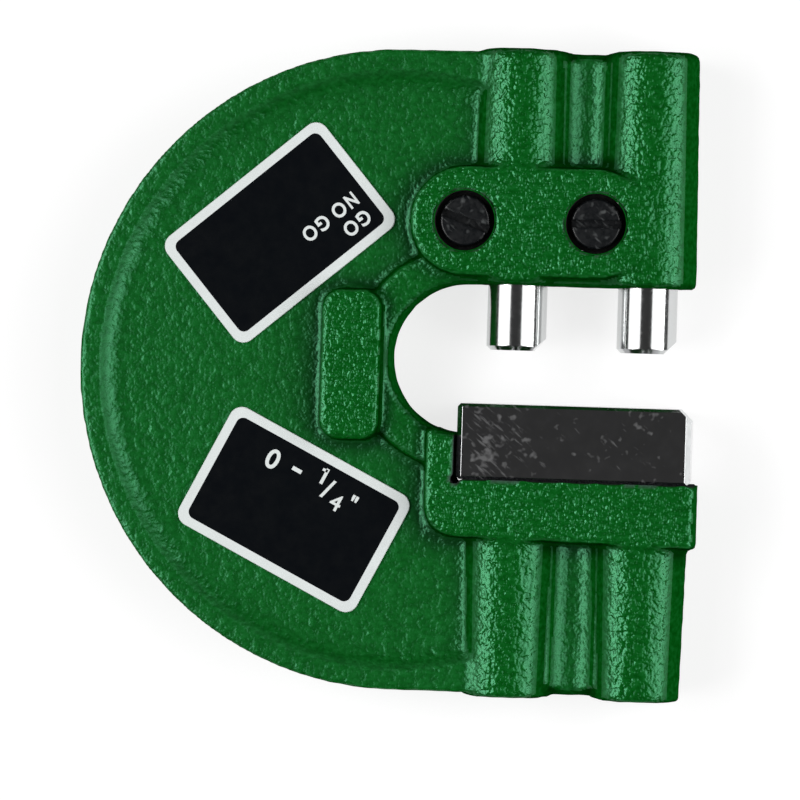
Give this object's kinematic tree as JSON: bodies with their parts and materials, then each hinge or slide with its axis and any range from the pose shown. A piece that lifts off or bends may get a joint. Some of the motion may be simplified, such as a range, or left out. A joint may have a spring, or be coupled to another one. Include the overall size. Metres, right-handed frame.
{
  "type": "snap gauge",
  "caption": "Adjustable limit snap gauge: a green enamelled cast C frame with a fixed steel anvil block, facing go and no-go gauging pins, adjusting screws and split clamps",
  "frame": {"origin": "middle of the gauge's footprint, on the plane of the back lands that it lies on", "axes": "+Z out of the front face with the labels, +Y towards the arm that holds the pins, +X towards the open end of the throat"},
  "size_m": [0.0656, 0.0684, 0.0104],
  "materials": {
    "enamelled_casting": "thick green stoved enamel over a rough iron casting, orange-peel texture",
    "ground_steel": "hardened, ground and lapped",
    "black_steel": "black oxide",
    "label_plate": "black printed plate with a white border"
  },
  "bodies": {
    "frame": {"frame": "enamelled_casting", "anvil_block": "ground_steel", "inner_anvil_screw": "black_steel", "outer_anvil_screw": "black_steel", "go_clamp_bushing": "black_steel", "no_go_clamp_bushing": "black_steel", "limit_label": "label_plate", "range_label": "label_plate"},
    "go_pin": {"go_pin": "ground_steel"},
    "go_adjusting_screw": {"go_adjusting_screw": "black_steel"},
    "go_clamp_screw": {"go_clamp_screw": "black_steel"},
    "go_clamp_nut": {"go_clamp_nut": "black_steel"},
    "no_go_pin": {"no_go_pin": "ground_steel"},
    "no_go_adjusting_screw": {"no_go_adjusting_screw": "black_steel"},
    "no_go_clamp_screw": {"no_go_clamp_screw": "black_steel"},
    "no_go_clamp_nut": {"no_go_clamp_nut": "black_steel"}
  },
  "joints": [
    {"name": "go_pin_slide", "type": "slide", "parent": "frame", "child": "go_pin", "axis": [0, 1, 0], "range_m": [-0.00571, 0.00064]},
    {"name": "go_adjust_turn", "type": "hinge", "parent": "go_pin", "child": "go_adjusting_screw", "pos_m": [0.0272, 0.028, 0.0052], "axis": [0, 1, 0], "range_deg": [-3241, 361]},
    {"name": "go_clamp_turn", "type": "hinge", "parent": "frame", "child": "go_clamp_screw", "pos_m": [0.0217, 0.0159, 0.0052], "axis": [0, 0, 1], "range_deg": [-1, 361]},
    {"name": "go_nut_slide", "type": "slide", "parent": "frame", "child": "go_clamp_nut", "axis": [0, 0, 1], "range_m": [-0.0005, 0]},
    {"name": "no_go_pin_slide", "type": "slide", "parent": "frame", "child": "no_go_pin", "axis": [0, 1, 0], "range_m": [-0.00568, 0.00064]},
    {"name": "no_go_adjust_turn", "type": "hinge", "parent": "no_go_pin", "child": "no_go_adjusting_screw", "pos_m": [0.0134, 0.028, 0.0052], "axis": [0, 1, 0], "range_deg": [-3221, 361]},
    {"name": "no_go_clamp_turn", "type": "hinge", "parent": "frame", "child": "no_go_clamp_screw", "pos_m": [0.0079, 0.0159, 0.0052], "axis": [0, 0, 1], "range_deg": [-1, 361]},
    {"name": "no_go_nut_slide", "type": "slide", "parent": "frame", "child": "no_go_clamp_nut", "axis": [0, 0, 1], "range_m": [-0.0005, 0]}
  ],
  "couplings": [
    {"joint": "go_adjust_turn", "follows": "go_pin_slide", "rad_per_m": 9894.8},
    {"joint": "go_clamp_turn", "follows": "go_nut_slide", "rad_per_m": -12566},
    {"joint": "no_go_adjust_turn", "follows": "no_go_pin_slide", "rad_per_m": 9894.8},
    {"joint": "no_go_clamp_turn", "follows": "no_go_nut_slide", "rad_per_m": -12566}
  ]
}
